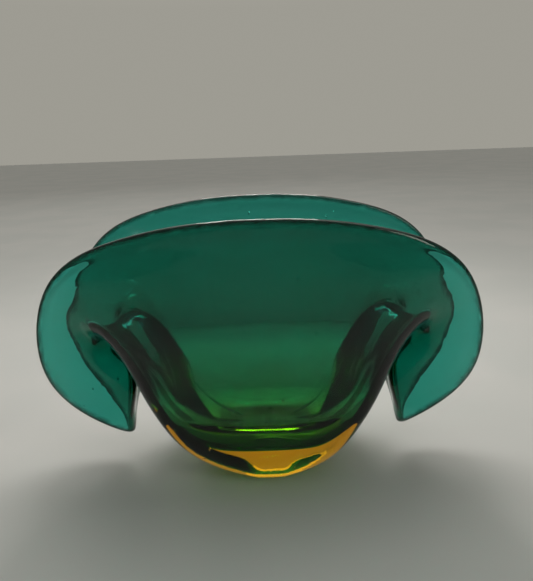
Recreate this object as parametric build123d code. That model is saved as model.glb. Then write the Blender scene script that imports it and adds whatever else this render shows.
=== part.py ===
from build123d import *
import os
import numpy as np

# Art glass bowl, millimetres. Origin: centre of the ground foot, on the table. +Z up, +X right, +Y back.
#
# The bowl is one blown wall. Its front and back stand up as two broad wings. Between them, at the left
# and right, the wall runs out as a trough, rolls over a crest and hangs down as a tongue, so the rim is
# one smooth closed line that climbs over each wing and dips to the tip of each tongue.
#
# Two layers of glass make that wall: the green bowl, and an amber casing picked up around its lower
# half. The casing is the thick mass over the foot, where the green is only a thin lining. As the wall
# climbs, the amber thins until it runs out and the wall is green right through.

# ---- driving dimensions -------------------------------------------------------------------------------
FLOOR_Z = 24.0              # lowest point of the hollow, which is the thickness of glass under it
FLOOR_SCALE = 0.34          # flat middle of the hollow, as a share of the foot's outline
BASIN_ROW = 3.5             # row of the wall below which the inside dishes down to the floor
BASIN_POWER = 2.5           # how the dish rises from the floor: 1 is a straight cone, more is flatter
GREEN_FLOOR = 1.5           # thickness of the green glass at the bottom of the hollow
GREEN_FLOOR_SCALE = 0.38    # flat underside of the green glass, as a share of the foot's outline
AMBER_SHARE = 0.82          # amber share of the wall's thickness at the basin row
AMBER_TOP_ROW = 5.5         # row of the wall where the amber runs out, about 77 mm above the table
AMBER_POWER = 2.5           # how it runs out: 1 is evenly from the basin row up, more is later and faster
LEAN = 3.5                  # hand-made lean of everything above the foot towards -X
LEAN_HEIGHT = 30.0          # height over which the lean builds up
BACK_RISE = 4.0             # how much higher the back wing stands than the front one
BACK_RISE_POWER = 2         # how that rise builds up: 1 is evenly from the table up, more is nearer the rim
WING_HEIGHT = 173.0         # height of the front wing at its middle

# ---- outside of the wall ------------------------------------------------------------------------------
# Each line climbs the outside of the wall from the foot to the rim, as (across, depth, height). The
# seven lines stand side by side over one quarter of the bowl, and the other quarters mirror it.
WING_MIDDLE = [
    (0, 33, 0), (0, 43, 10), (0, 49.5, 24), (0, 53, 40), (0, 54.5, 55), (0, 55, 70), (0, 54.5, 85),
    (0, 53.5, 99), (0, 52.5, 113), (0, 51.5, 128), (0, 50.5, 143), (0, 49.5, 158), (0, 48.5, WING_HEIGHT),
]
WING_SIDE = [
    (15, 30, 0), (22, 40, 10), (30, 47, 24), (38, 51, 40), (44, 54, 55), (49, 55, 70), (54, 54.5, 84),
    (58, 54, 98), (62, 53, 111), (66, 52, 125), (69, 51, 139), (72, 49.5, 152), (75, 47.5, 165),
]
SHOULDER = [
    (25, 23, 0), (35, 33, 10), (46, 41, 24), (55.5, 46, 40), (63, 49, 55), (68.5, 50.5, 69), (74, 51, 84),
    (80, 51, 99), (87, 51, 112), (94, 50.5, 123), (102, 49.5, 132), (110, 48, 139), (118, 45.5, 143),
]
EAR_UPPER = [
    (30, 16, 0), (42, 23, 10), (54, 29, 24), (62.5, 34, 40), (69, 36, 55), (74.5, 37, 69), (80.5, 37.5, 84),
    (87, 38, 96), (94.5, 38.5, 104), (103.5, 39, 107), (114, 38.5, 105), (125.5, 37.5, 99), (135, 36, 91),
]
EAR_LOWER = [
    (33, 10, 0), (45, 14, 10), (57, 18, 24), (65, 21, 40), (71, 22, 55), (75.5, 22, 69), (80.5, 21, 83),
    (86.5, 20.5, 95), (94.5, 21, 100), (100, 24, 93), (103, 29, 81), (113, 31, 68), (125, 27, 57),
]
TONGUE_SIDE = [
    (34.5, 5, 0), (46, 8, 10), (57, 11, 24), (65, 12.5, 40), (69, 13, 56), (72.5, 13, 71), (76.5, 13, 85),
    (83, 12.5, 96), (92, 12.5, 99), (96, 12.5, 90), (88, 13, 76), (88, 14.5, 55), (103, 15.5, 33),
]
TONGUE_MIDDLE = [
    (35, 0, 0), (46, 0, 10), (55, 0, 24), (60, 0, 40), (62, 0, 58), (66, 0, 75), (72.5, 0, 90),
    (82, 0, 100), (92, 0, 98), (94.5, 0, 87), (86.5, 0, 72), (88.5, 0, 48), (93, 0, 22),
]
QUARTER = [WING_MIDDLE, WING_SIDE, SHOULDER, EAR_UPPER, EAR_LOWER, TONGUE_SIDE, TONGUE_MIDDLE]

# Thickness of the whole wall at each row, foot to rim: on the wings, and through the troughs, where the
# glass gathered as it folded.
WING_WALL = [32, 23, 16, 12, 10, 9, 8, 7, 6.5, 6, 5.5, 5, 4.5]
TROUGH_WALL = [32, 23, 17, 15, 14, 12, 10, 8, 7, 6.5, 6, 5.5, 4.5]
TROUGH_SHARE = 0.3          # share of each quarter, next to the tongue, that thickens into the trough

ROWS = len(WING_WALL)
RIM_ROW = ROWS - 1
RING_POINTS = 48            # points around each ring that the wall is drawn through, an even number
ROW_STEP = 0.5              # rows from one of those rings to the next
STEP = 0.01                 # small step along the wall, used to find its slope
LIP_TURNS = (30, 60, 90, 120, 150)                          # rings on the rim, in degrees
BASIN_SPREADS = (1, 0.85, 0.7, 0.55, 0.4, 0.25, 0.12, 0)    # rings on and under the hollow's bottom


def spline_through(knots, values, places, closed=False):
    """Cubic spline through values at knots, read off at places: closed on itself, or with free ends."""
    knots = np.asarray(knots, float)
    values = np.asarray(values, float)
    gap = np.diff(knots)
    slope = np.diff(values, axis=0) / gap[:, None]
    count = len(knots)
    system = np.eye(count)
    pull = np.zeros_like(values)
    for i in range(1, count - 1):
        system[i, i - 1:i + 2] = gap[i - 1], 2 * (gap[i - 1] + gap[i]), gap[i]
        pull[i] = 6 * (slope[i] - slope[i - 1])
    if closed:
        system[0, 0] = 2 * (gap[-1] + gap[0])
        system[0, 1] = gap[0]
        system[0, -2] = gap[-1]
        pull[0] = 6 * (slope[0] - slope[-1])
        system[-1, 0] = -1
    bend = np.linalg.solve(system, pull)
    places = np.asarray(places, float)
    if closed:
        places = knots[0] + (places - knots[0]) % (knots[-1] - knots[0])
    i = np.clip(np.searchsorted(knots, places, side="right") - 1, 0, count - 2)
    width = gap[i][:, None]
    b = (places - knots[i])[:, None] / width
    a = 1 - b
    curve = a * values[i] + b * values[i + 1]
    return curve + ((a**3 - a) * bend[i] + (b**3 - b) * bend[i + 1]) * width**2 / 6


def go_round(quarter, middle_flips):
    """The quarter's lines laid out once around the bowl, from the front middle over +X and back to it."""
    flip_x, flip_y = middle_flips
    right_front = quarter
    right_back = [line * flip_y for line in quarter[-2::-1]]
    left_back = [line * flip_y * flip_x for line in quarter[1:]]
    left_front = [line * flip_x for line in quarter[-2::-1]]
    return np.array(right_front + right_back + left_back + left_front)


def make_lines():
    """All lines around the bowl, their places around it, and the wall's thickness along each."""
    quarter = [np.array(line, float) * (1, -1, 1) for line in QUARTER]
    girth = [0.0]
    for here, there in zip(quarter, quarter[1:]):
        halfway = ROWS // 2
        spans = np.linalg.norm(there[[halfway, RIM_ROW]] - here[[halfway, RIM_ROW]], axis=1)
        girth.append(girth[-1] + spans.mean())
    girth = np.array(girth)
    side = girth[-1]
    share = np.clip((girth / side - 1 + TROUGH_SHARE) / TROUGH_SHARE, 0, 1)[:, None]
    walls = np.array(WING_WALL) * (1 - share) + np.array(TROUGH_WALL) * share

    mirrored = 2 * side - girth[-2::-1]
    places = np.concatenate([girth, mirrored, 2 * side + girth[1:], 2 * side + mirrored])
    lines = go_round(quarter, (np.array((-1, 1, 1)), np.array((1, -1, 1))))
    thickness = go_round(list(walls), (1, 1))
    lean_share = np.clip(lines[..., 2] / LEAN_HEIGHT, 0, 1)
    climb = (lines[..., 2] / WING_HEIGHT) ** BACK_RISE_POWER
    back_share = np.clip(lines[..., 1] / WING_MIDDLE[-1][1], 0, 1) * climb
    lines[..., 0] -= LEAN * lean_share
    lines[..., 2] += BACK_RISE * back_share
    return lines, places, thickness


LINES, PLACES, THICKNESS = make_lines()
GIRTH = PLACES[-1]
BACK_MIDDLE = GIRTH / 2
AROUND = BACK_MIDDLE + np.linspace(0, GIRTH, RING_POINTS, endpoint=False)


def on_grid(table, around, row):
    """Smooth value of a table of the wall's lines, at places around the bowl and one row up the wall."""
    count, rows, size = table.shape
    across = spline_through(PLACES, table.reshape(count, rows * size), around, closed=True)
    across = across.reshape(len(around), rows, size).transpose(1, 0, 2).reshape(rows, -1)
    return spline_through(range(rows), across, [row]).reshape(len(around), size)


def outside(row):
    """Ring of points on the outside of the wall at one row."""
    return on_grid(LINES, AROUND, row)


def along_wall(row):
    """Unit directions up the wall at one row."""
    rise = on_grid(LINES, AROUND, row + STEP) - on_grid(LINES, AROUND, row - STEP)
    return rise / np.linalg.norm(rise, axis=1, keepdims=True)


def into_wall(row):
    """Unit directions from the outside of the wall straight into the glass at one row."""
    turn = on_grid(LINES, AROUND + STEP, row) - on_grid(LINES, AROUND - STEP, row)
    inward = np.cross(along_wall(row), turn)
    return inward / np.linalg.norm(inward, axis=1, keepdims=True)


def inside(row):
    """Ring of points on the inside of the wall at one row."""
    return outside(row) + into_wall(row) * on_grid(THICKNESS[..., None], AROUND, row)


def lip(turn):
    """Ring of points on the half-round rim, turned by so many degrees from the outside to the inside."""
    half = (inside(RIM_ROW) - outside(RIM_ROW)) / 2
    radius = np.linalg.norm(half, axis=1, keepdims=True)
    angle = np.radians(turn)
    return outside(RIM_ROW) + half * (1 - np.cos(angle)) + along_wall(RIM_ROW) * radius * np.sin(angle)


def flat_ring(scale, height):
    """Level ring with the foot's outline at a given scale and height."""
    ring = outside(0) * (scale, scale, 0)
    return ring + (0, 0, height)


def dish(floor, edge, power, spread):
    """Ring of points part of the way from a dish's flat floor to its edge."""
    return floor + (edge - floor) * (spread, spread, spread**power)


def basin(spread):
    """Ring of points on the dished bottom of the hollow, from its floor (0) to where the wall rises (1)."""
    return dish(flat_ring(FLOOR_SCALE, FLOOR_Z), inside(BASIN_ROW), BASIN_POWER, spread)


def joint_basin(spread):
    """Ring of points between the two layers of glass under that dished bottom."""
    floor = flat_ring(GREEN_FLOOR_SCALE, FLOOR_Z - GREEN_FLOOR)
    return dish(floor, joint_wall(BASIN_ROW), BASIN_POWER, spread)


def joint_wall(row):
    """Ring of points between the two layers of glass in the wall, which nears the outside as it climbs."""
    climb = (row - BASIN_ROW) / (AMBER_TOP_ROW - BASIN_ROW)
    return outside(row) + (inside(row) - outside(row)) * AMBER_SHARE * (1 - climb**AMBER_POWER)


def rows_between(first, last):
    """Rows from the first to the last, one ring apart."""
    return np.linspace(first, last, round(abs(last - first) / ROW_STEP) + 1)


def ring_wire(points):
    """Closed smooth wire through a ring of points, as a left and a right half that join smoothly.

    Every ring has its knots in the same places. The right half runs at another speed than the left
    one, which keeps the halves apart where rings are skinned, so that no ring is cut anywhere else.
    """
    half = len(points) // 2
    loop = np.vstack([points, points[:1]])
    back_way = points[1] - points[-1]
    front_way = points[half + 1] - points[half - 1]
    left = Edge.make_spline(
        [Vector(*point) for point in loop[:half + 1]],
        tangents=(Vector(*back_way), Vector(*front_way)),
        parameters=np.linspace(0, 1, half + 1).tolist(),
    )
    right = Edge.make_spline(
        [Vector(*point) for point in loop[half:]],
        tangents=(Vector(*front_way), Vector(*back_way)),
        parameters=np.linspace(0, 2, half + 1).tolist(),
    )
    return Wire([left, right])


def skin(rings):
    """Smooth faces drawn through a run of rings."""
    return Shell.make_loft([ring_wire(ring) for ring in rings]).faces()


def disc(ring):
    """Flat face that fills a level ring."""
    return Face(ring_wire(ring))


def close_up(faces, name):
    """One solid inside a set of faces that meet edge to edge."""
    solid = Solid(Shell(faces))
    solid.label = name
    return solid


def make_layers():
    """The green bowl and its amber casing, which share the faces where they are fused."""
    joint_rings = [joint_basin(spread) for spread in reversed(BASIN_SPREADS)]
    joint_rings += [joint_wall(row) for row in rows_between(BASIN_ROW, AMBER_TOP_ROW)[1:]]
    joint_skin = skin(joint_rings)
    joint_floor = disc(joint_rings[0])

    cased_rings = [outside(row) for row in rows_between(0, AMBER_TOP_ROW)]
    amber_faces = skin(cased_rings) + joint_skin + [joint_floor, disc(cased_rings[0])]
    amber = close_up(amber_faces, "amber_base_casing")

    bare_rings = [outside(row) for row in rows_between(AMBER_TOP_ROW, RIM_ROW)]
    bare_rings += [lip(turn) for turn in LIP_TURNS]
    bare_rings += [inside(row) for row in rows_between(RIM_ROW, BASIN_ROW)[:-1]]
    bare_rings += [basin(spread) for spread in BASIN_SPREADS]
    green_faces = skin(bare_rings) + joint_skin + [joint_floor, disc(bare_rings[-1])]
    green = close_up(green_faces, "green_glass_bowl")
    return green, amber


os.makedirs("parts", exist_ok=True)
for layer in make_layers():
    export_step(layer, "parts/" + layer.label + ".step")
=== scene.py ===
# Art glass bowl: the visual model on the imported frame, in metres. +Z up, the bowl stands at z = 0.
#
# The bowl is two fused layers of clear coloured glass. Each layer is one closed mesh with one glass
# material. Its colour is mostly absorption, so it deepens where the glass is thick, with faint cords on
# the surface. Along the rim a painted shade darkens the base colour, standing in for the dark band that
# refraction through the rounded lip shows. Where the two layers meet there is no surface on the real
# bowl: those faces are marked "fused" and let light straight through.
import math
import random

import bmesh
import bpy
from mathutils import Matrix, Vector
from mathutils.bvhtree import BVHTree
from mathutils.kdtree import KDTree


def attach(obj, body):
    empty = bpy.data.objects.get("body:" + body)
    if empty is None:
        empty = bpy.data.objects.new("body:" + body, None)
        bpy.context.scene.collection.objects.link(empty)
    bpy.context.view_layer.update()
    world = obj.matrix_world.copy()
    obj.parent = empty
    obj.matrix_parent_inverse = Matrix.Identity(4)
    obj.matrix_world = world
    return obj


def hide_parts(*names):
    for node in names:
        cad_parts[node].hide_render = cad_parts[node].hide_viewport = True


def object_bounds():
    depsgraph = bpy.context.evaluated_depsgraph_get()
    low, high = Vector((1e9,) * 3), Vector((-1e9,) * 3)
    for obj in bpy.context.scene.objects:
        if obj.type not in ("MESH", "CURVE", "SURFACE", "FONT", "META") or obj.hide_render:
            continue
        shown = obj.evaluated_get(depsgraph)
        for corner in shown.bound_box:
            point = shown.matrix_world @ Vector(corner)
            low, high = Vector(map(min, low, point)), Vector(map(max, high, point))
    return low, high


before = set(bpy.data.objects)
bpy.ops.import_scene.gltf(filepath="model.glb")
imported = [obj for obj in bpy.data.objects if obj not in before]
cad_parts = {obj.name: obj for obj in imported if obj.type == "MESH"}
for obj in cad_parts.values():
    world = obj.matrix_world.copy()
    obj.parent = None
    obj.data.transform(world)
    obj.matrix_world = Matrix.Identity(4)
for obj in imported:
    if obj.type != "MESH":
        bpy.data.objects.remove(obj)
CAD_LOW, CAD_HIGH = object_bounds()
LENGTH = CAD_HIGH.x - CAD_LOW.x
HEIGHT = CAD_HIGH.z - CAD_LOW.z

GREEN_NODE = "green_glass_bowl"
AMBER_NODE = "amber_base_casing"

# ---- glass --------------------------------------------------------------------------------------------
GLASS_IOR = 1.5
GREEN_ABSORPTION = ((0.38, 0.83, 0.79), 1000)       # colour, and density per metre
AMBER_ABSORPTION = ((0.995, 0.92, 0.45), 110)
GREEN_CORDS = (0.93, 1, 0.98)           # tint of the faint cords in each glass
AMBER_CORDS = (1, 0.96, 0.9)
CORD_SCALE = 38
CORD_STRETCH = (1, 1, 0.3)
SMEAR_SCALE = 60
SMEAR_ROUGHNESS = (0.0, 0.03)           # clean glass, and the middle of a smear
RIPPLE_SCALE = 26
RIPPLE_HEIGHT = 0.0004
RIPPLE_STRENGTH = 0.35
WELD = 1e-6                 # corners of the CAD mesh nearer than this are one point
FUSED_REACH = 1e-4          # faces of the two layers nearer than this are fused
HAIR_GAP = 2e-5             # how far the green layer is drawn back from the amber, so no faces coincide
RIM_PAINTED_SHADE = (0.03, 0.08, 0.07)     # painted shade: near-black base colour on the rim, standing in for the dark band that refraction through the rounded lip shows
RIM_SHADE_REACH = 0.0028          # how far down the wall from the rim the painted shade runs
RIM_TURN = (0.04, 0.13)     # 1 - cosine between the two sides of the wall, where the painted rim shade starts and is full

# ---- seeds: the tiny bubbles in the glass -------------------------------------------------------------
SEED_COUNTS = {GREEN_NODE: 90, AMBER_NODE: 14}
SEED_RADIUS = (0.0002, 0.0007)
SEED_STRETCH = 1.7          # bubbles are drawn out along the wall as the glass is blown
SEED_DEPTH = (0.3, 0.7)     # how deep in the wall they lie, as a share of its thickness
SEED_WALL = (0.003, 0.03)   # thinnest and thickest wall that gets any
SEED_DETAIL = 2
SEED_START = 7              # start of the random draws that place them

# ---- camera and light ---------------------------------------------------------------------------------
CAMERA_BACK = 0.345
CAMERA_HEIGHT = 0.220
CAMERA_PITCH = 16.1
CAMERA_ROLL = 2.0
CAMERA_YAW = -0.2
SENSOR = 36                 # millimetres, along the picture's long side, its height
LENS = 33.5
FLOOR_REACH = 20            # floor each way from the bowl, in bowl lengths
LIGHT_BOUNCES = 24
TRANSPARENT_BOUNCES = 48


def new_material(name):
    """Empty node material, its nodes, a linking function and its output node."""
    material = bpy.data.materials.new(name)
    material.use_nodes = True
    nodes = material.node_tree.nodes
    nodes.clear()
    output = nodes.new("ShaderNodeOutputMaterial")
    return material, nodes, material.node_tree.links.new, output


def noise(nodes, link, scale, detail, stretch=(1, 1, 1)):
    """Noise fixed to the object, in metres, stretched along an axis if asked."""
    place = nodes.new("ShaderNodeTexCoord")
    mapping = nodes.new("ShaderNodeMapping")
    mapping.inputs["Scale"].default_value = stretch
    texture = nodes.new("ShaderNodeTexNoise")
    texture.inputs["Scale"].default_value = scale
    texture.inputs["Detail"].default_value = detail
    link(place.outputs["Object"], mapping.inputs["Vector"])
    link(mapping.outputs["Vector"], texture.inputs["Vector"])
    return texture.outputs["Fac"]


def ramp(nodes, link, source, stops):
    """Colour ramp over a grey source, from (position, colour) stops."""
    node = nodes.new("ShaderNodeValToRGB")
    points = node.color_ramp.elements
    for point, (position, colour) in zip(points, (stops[0], stops[-1])):
        point.position = position
        point.color = (*colour, 1)
    for position, colour in stops[1:-1]:
        points.new(position).color = (*colour, 1)
    link(source, node.inputs["Fac"])
    return node.outputs["Color"]


def map_range(nodes, link, source, span, result):
    """Source mapped from one span of values to another, held at its ends."""
    node = nodes.new("ShaderNodeMapRange")
    node.inputs["From Min"].default_value, node.inputs["From Max"].default_value = span
    node.inputs["To Min"].default_value, node.inputs["To Max"].default_value = result
    link(source, node.inputs["Value"])
    return node.outputs["Result"]


def glass_material(name, absorption, streak_colour):
    """Fire-polished coloured glass: a painted shade darkening the rim, faint cords and ripples, and a few
    smears.
    """
    material, nodes, link, output = new_material(name)
    glass = nodes.new("ShaderNodeBsdfPrincipled")
    glass.inputs["IOR"].default_value = GLASS_IOR
    glass.inputs["Transmission Weight"].default_value = 1.0

    cords = noise(nodes, link, CORD_SCALE, 3, CORD_STRETCH)
    body = ramp(nodes, link, cords, [(0.35, streak_colour), (0.6, (1, 1, 1))])
    # painted shade: the "rim" mask mixes the base colour toward near-black along the lip
    rim = nodes.new("ShaderNodeAttribute")
    rim.attribute_name = "rim"
    tint = nodes.new("ShaderNodeMix")
    tint.data_type = "RGBA"
    link(rim.outputs["Fac"], tint.inputs["Factor"])
    link(body, tint.inputs["A"])
    tint.inputs["B"].default_value = (*RIM_PAINTED_SHADE, 1)
    link(tint.outputs["Result"], glass.inputs["Base Color"])
    smears = noise(nodes, link, SMEAR_SCALE, 4)
    link(map_range(nodes, link, smears, (0.55, 0.8), SMEAR_ROUGHNESS), glass.inputs["Roughness"])

    bump = nodes.new("ShaderNodeBump")
    bump.inputs["Strength"].default_value = RIPPLE_STRENGTH
    bump.inputs["Distance"].default_value = RIPPLE_HEIGHT
    link(noise(nodes, link, RIPPLE_SCALE, 1.5), bump.inputs["Height"])
    link(bump.outputs["Normal"], glass.inputs["Normal"])

    through = nodes.new("ShaderNodeBsdfTransparent")
    fused = nodes.new("ShaderNodeAttribute")
    fused.attribute_name = "fused"
    surface = nodes.new("ShaderNodeMixShader")
    link(fused.outputs["Fac"], surface.inputs["Fac"])
    link(glass.outputs["BSDF"], surface.inputs[1])
    link(through.outputs["BSDF"], surface.inputs[2])
    link(surface.outputs["Shader"], output.inputs["Surface"])

    inner = nodes.new("ShaderNodeVolumeAbsorption")
    colour, density = absorption
    inner.inputs["Color"].default_value = (*colour, 1)
    inner.inputs["Density"].default_value = density
    link(inner.outputs["Volume"], output.inputs["Volume"])
    return material


def search_tree(node):
    """Tree for finding the nearest point on a CAD node."""
    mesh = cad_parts[node].data
    return BVHTree.FromPolygons([v.co for v in mesh.vertices], [tuple(p.vertices) for p in mesh.polygons])


def store_normals(mesh):
    """Keep the CAD surface's own normals at every corner, so that they survive the weld."""
    normals = [component for corner in mesh.corner_normals for component in corner.vector]
    mesh.attributes.new("kept_normal", "FLOAT_VECTOR", "CORNER").data.foreach_set("vector", normals)


def use_stored_normals(mesh):
    """Shade every corner with its kept normal."""
    kept = mesh.attributes["kept_normal"]
    normals = [tuple(corner.vector) for corner in kept.data]
    mesh.attributes.remove(kept)
    mesh.normals_split_custom_set(normals)


def mark_fused(work, other_tree):
    """Mark the faces that touch the other layer, and return them."""
    mark = work.faces.layers.float.new("fused")
    fused = []
    for face in work.faces:
        _, normal, _, distance = other_tree.find_nearest(face.calc_center_median())
        if distance < FUSED_REACH and normal.dot(face.normal) < 0:
            face[mark] = 1
            fused.append(face)
    return fused


def mark_painted_rim_shade(work):
    """Mark the rounded rim for the painted shade, where the wall's sides aren't parallel, and fade it out
    down the wall.
    """
    mark = work.verts.layers.float.new("rim")
    fused = work.faces.layers.float["fused"]
    tree = BVHTree.FromBMesh(work)
    work.faces.ensure_lookup_table()
    bare = [vertex for vertex in work.verts if not any(face[fused] for face in vertex.link_faces)]
    first, full = RIM_TURN
    for vertex in bare:
        _, far_side, index, _ = tree.ray_cast(vertex.co - vertex.normal * HAIR_GAP, -vertex.normal)
        if far_side is not None and not work.faces[index][fused]:
            turn = 1 + far_side.dot(vertex.normal)
            vertex[mark] = min(max((turn - first) / (full - first), 0), 1)

    lip = [vertex.co for vertex in bare if vertex[mark] == 1]
    crest = KDTree(len(lip))
    for number, place in enumerate(lip):
        crest.insert(place, number)
    crest.balance()
    for vertex in bare:
        away = crest.find(vertex.co)[2] / RIM_SHADE_REACH
        vertex[mark] = max(vertex[mark], 1 - away**2)


def draw_back(fused):
    """Pull the fused faces a hair into their own layer, all but the edge where the layers run out."""
    chosen = set(fused)
    corners = {vertex for face in fused for vertex in face.verts}
    inner = [vertex for vertex in corners if all(face in chosen for face in vertex.link_faces)]
    moves = [(vertex, vertex.normal * HAIR_GAP) for vertex in inner]
    for vertex, move in moves:
        vertex.co -= move


def add_seeds(work, node, rng):
    """Tiny stretched bubbles inside the wall, as cavities in the same mesh."""
    mark = work.faces.layers.float["fused"]
    kept = work.loops.layers.float_vector["kept_normal"]
    tree = BVHTree.FromBMesh(work)
    bare = [face for face in work.faces if not face[mark]]
    sizes = [face.calc_area() for face in bare]
    left = SEED_COUNTS[node]
    while left:
        face = rng.choices(bare, sizes)[0]
        start = face.calc_center_median()
        inward = -face.normal
        wall = tree.ray_cast(start + inward * HAIR_GAP, inward)[3]
        if wall is None or not SEED_WALL[0] < wall < SEED_WALL[1]:
            continue
        centre = start + inward * wall * rng.uniform(*SEED_DEPTH)
        radius = SEED_RADIUS[0] * (SEED_RADIUS[1] / SEED_RADIUS[0]) ** rng.random()
        add_seed(work, kept, centre, radius, inward)
        left -= 1


def add_seed(work, kept, centre, radius, inward):
    """One bubble, long along the rise of the wall."""
    up = Vector((0, 0, 1))
    rise = (up - inward * up.dot(inward)).normalized()
    turn = rise.to_track_quat("Z", "Y").to_matrix().to_4x4()
    shape = Matrix.Translation(centre) @ turn @ Matrix.Diagonal((1, 1, SEED_STRETCH, 1))
    made = bmesh.ops.create_icosphere(work, subdivisions=SEED_DETAIL, radius=radius, matrix=shape)
    faces = {face for vertex in made["verts"] for face in vertex.link_faces}
    bmesh.ops.reverse_faces(work, faces=list(faces))
    for face in faces:
        face.smooth = True
        for corner in face.loops:
            corner[kept] = (centre - corner.vert.co).normalized()


def glass_layer(node, other, material, rng, drawn_back):
    """One layer of the glass, from its CAD shape, ready to hold light."""
    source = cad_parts[node]
    mesh = source.data.copy()
    mesh.name = node + "_glass"
    store_normals(mesh)
    work = bmesh.new()
    work.from_mesh(mesh)
    bmesh.ops.remove_doubles(work, verts=work.verts, dist=WELD)
    work.normal_update()
    fused = mark_fused(work, search_tree(other))
    if drawn_back:
        mark_painted_rim_shade(work)
        draw_back(fused)
    add_seeds(work, node, rng)
    work.to_mesh(mesh)
    work.free()
    use_stored_normals(mesh)
    mesh.materials.clear()
    mesh.materials.append(material)
    piece = bpy.data.objects.new(mesh.name, mesh)
    bpy.context.scene.collection.objects.link(piece)
    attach(piece, "root")
    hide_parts(node)
    return piece


def make_bowl():
    """Both layers, and the same glass on the CAD nodes that they replace."""
    rng = random.Random(SEED_START)
    green = glass_material("green_glass", GREEN_ABSORPTION, GREEN_CORDS)
    amber = glass_material("amber_glass", AMBER_ABSORPTION, AMBER_CORDS)
    glass_layer(GREEN_NODE, AMBER_NODE, green, rng, drawn_back=True)
    glass_layer(AMBER_NODE, GREEN_NODE, amber, rng, drawn_back=False)
    for node, material in ((GREEN_NODE, green), (AMBER_NODE, amber)):
        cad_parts[node].data.materials.clear()
        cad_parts[node].data.materials.append(material)


def make_floor():
    """Plain pale floor, wide enough to run out of every view."""
    material, nodes, link, output = new_material("pale_floor")
    paint = nodes.new("ShaderNodeBsdfPrincipled")
    paint.inputs["Roughness"].default_value = 0.55
    patches = noise(nodes, link, 6, 2)
    tone = ramp(nodes, link, patches, [(0.4, (0.62, 0.63, 0.61)), (0.6, (0.66, 0.66, 0.64))])
    link(tone, paint.inputs["Base Color"])
    link(paint.outputs["BSDF"], output.inputs["Surface"])

    reach = FLOOR_REACH * LENGTH
    mesh = bpy.data.meshes.new("floor")
    corners = [(x, y, CAD_LOW.z - HAIR_GAP) for x, y in ((-1, -1), (1, -1), (1, 1), (-1, 1))]
    mesh.from_pydata([(x * reach, y * reach, z) for x, y, z in corners], [], [(0, 1, 2, 3)])
    mesh.materials.append(material)
    floor = bpy.data.objects.new("floor", mesh)
    bpy.context.scene.collection.objects.link(floor)


def soft_light(name, place, target, size, power, colour):
    """Rectangular soft light that faces a target point."""
    light = bpy.data.lights.new(name, "AREA")
    light.shape = "RECTANGLE"
    light.size, light.size_y = size
    light.energy = power
    light.color = colour
    lamp = bpy.data.objects.new(name, light)
    bpy.context.scene.collection.objects.link(lamp)
    lamp.location = place
    lamp.rotation_euler = (Vector(target) - lamp.location).to_track_quat("-Z", "Y").to_euler()


def make_world():
    """Soft studio surround: bright behind the bowl and overhead, dimmer in front of it."""
    world = bpy.data.worlds.new("studio")
    bpy.context.scene.world = world
    world.use_nodes = True
    nodes = world.node_tree.nodes
    link = world.node_tree.links.new
    background = nodes["Background"]
    place = nodes.new("ShaderNodeTexCoord")
    split = nodes.new("ShaderNodeSeparateXYZ")
    link(place.outputs["Generated"], split.inputs["Vector"])
    depth = map_range(nodes, link, split.outputs["Y"], (-0.6, 0.6), (0, 1))
    stops = [(0, (0.1, 0.1, 0.098)), (0.5, (0.15, 0.15, 0.145)), (1, (0.34, 0.33, 0.29))]
    tone = ramp(nodes, link, depth, stops)
    link(tone, background.inputs["Color"])
    link(map_range(nodes, link, split.outputs["Z"], (0.2, 0.65), (1, 1.6)), background.inputs["Strength"])


def make_lights():
    """A window and a glow behind the bowl, a soft box overhead, and a weak one at the front right."""
    make_world()
    middle = (0, 0, HEIGHT / 2)
    behind_foot = (0, 0.13, 0)
    soft_light("window", (-0.45, 1.5, 1.25), middle, (1.7, 1.0), 3.5, (1.0, 0.98, 0.93))
    soft_light("top", (0.1, 0.3, 1.4), middle, (1.3, 0.6), 3, (1.0, 0.99, 0.96))
    soft_light("glow", (0, 0.32, 0.47), behind_foot, (0.25, 0.12), 1.1, (1.0, 0.98, 0.93))
    soft_light("front", (0.8, -0.9, 0.9), middle, (0.25, 0.6), 1.5, (1.0, 0.95, 0.84))
    cycles = bpy.context.scene.cycles
    cycles.max_bounces = LIGHT_BOUNCES
    cycles.transmission_bounces = LIGHT_BOUNCES
    cycles.transparent_max_bounces = TRANSPARENT_BOUNCES
    bpy.context.scene.view_settings.view_transform = "Standard"


def make_camera():
    """Camera a little above the rim, looking down into the bowl from the front."""
    data = bpy.data.cameras.new("camera")
    data.sensor_width = SENSOR
    data.lens = LENS
    camera = bpy.data.objects.new("camera", data)
    bpy.context.scene.collection.objects.link(camera)
    turn = Matrix.Rotation(math.radians(CAMERA_YAW), 4, "Z")
    turn = turn @ Matrix.Rotation(math.radians(90 - CAMERA_PITCH), 4, "X")
    turn = turn @ Matrix.Rotation(math.radians(-CAMERA_ROLL), 4, "Z")
    camera.matrix_world = Matrix.Translation((0, -CAMERA_BACK, CAMERA_HEIGHT)) @ turn
    bpy.context.scene.camera = camera


make_bowl()
make_floor()
make_lights()
make_camera()
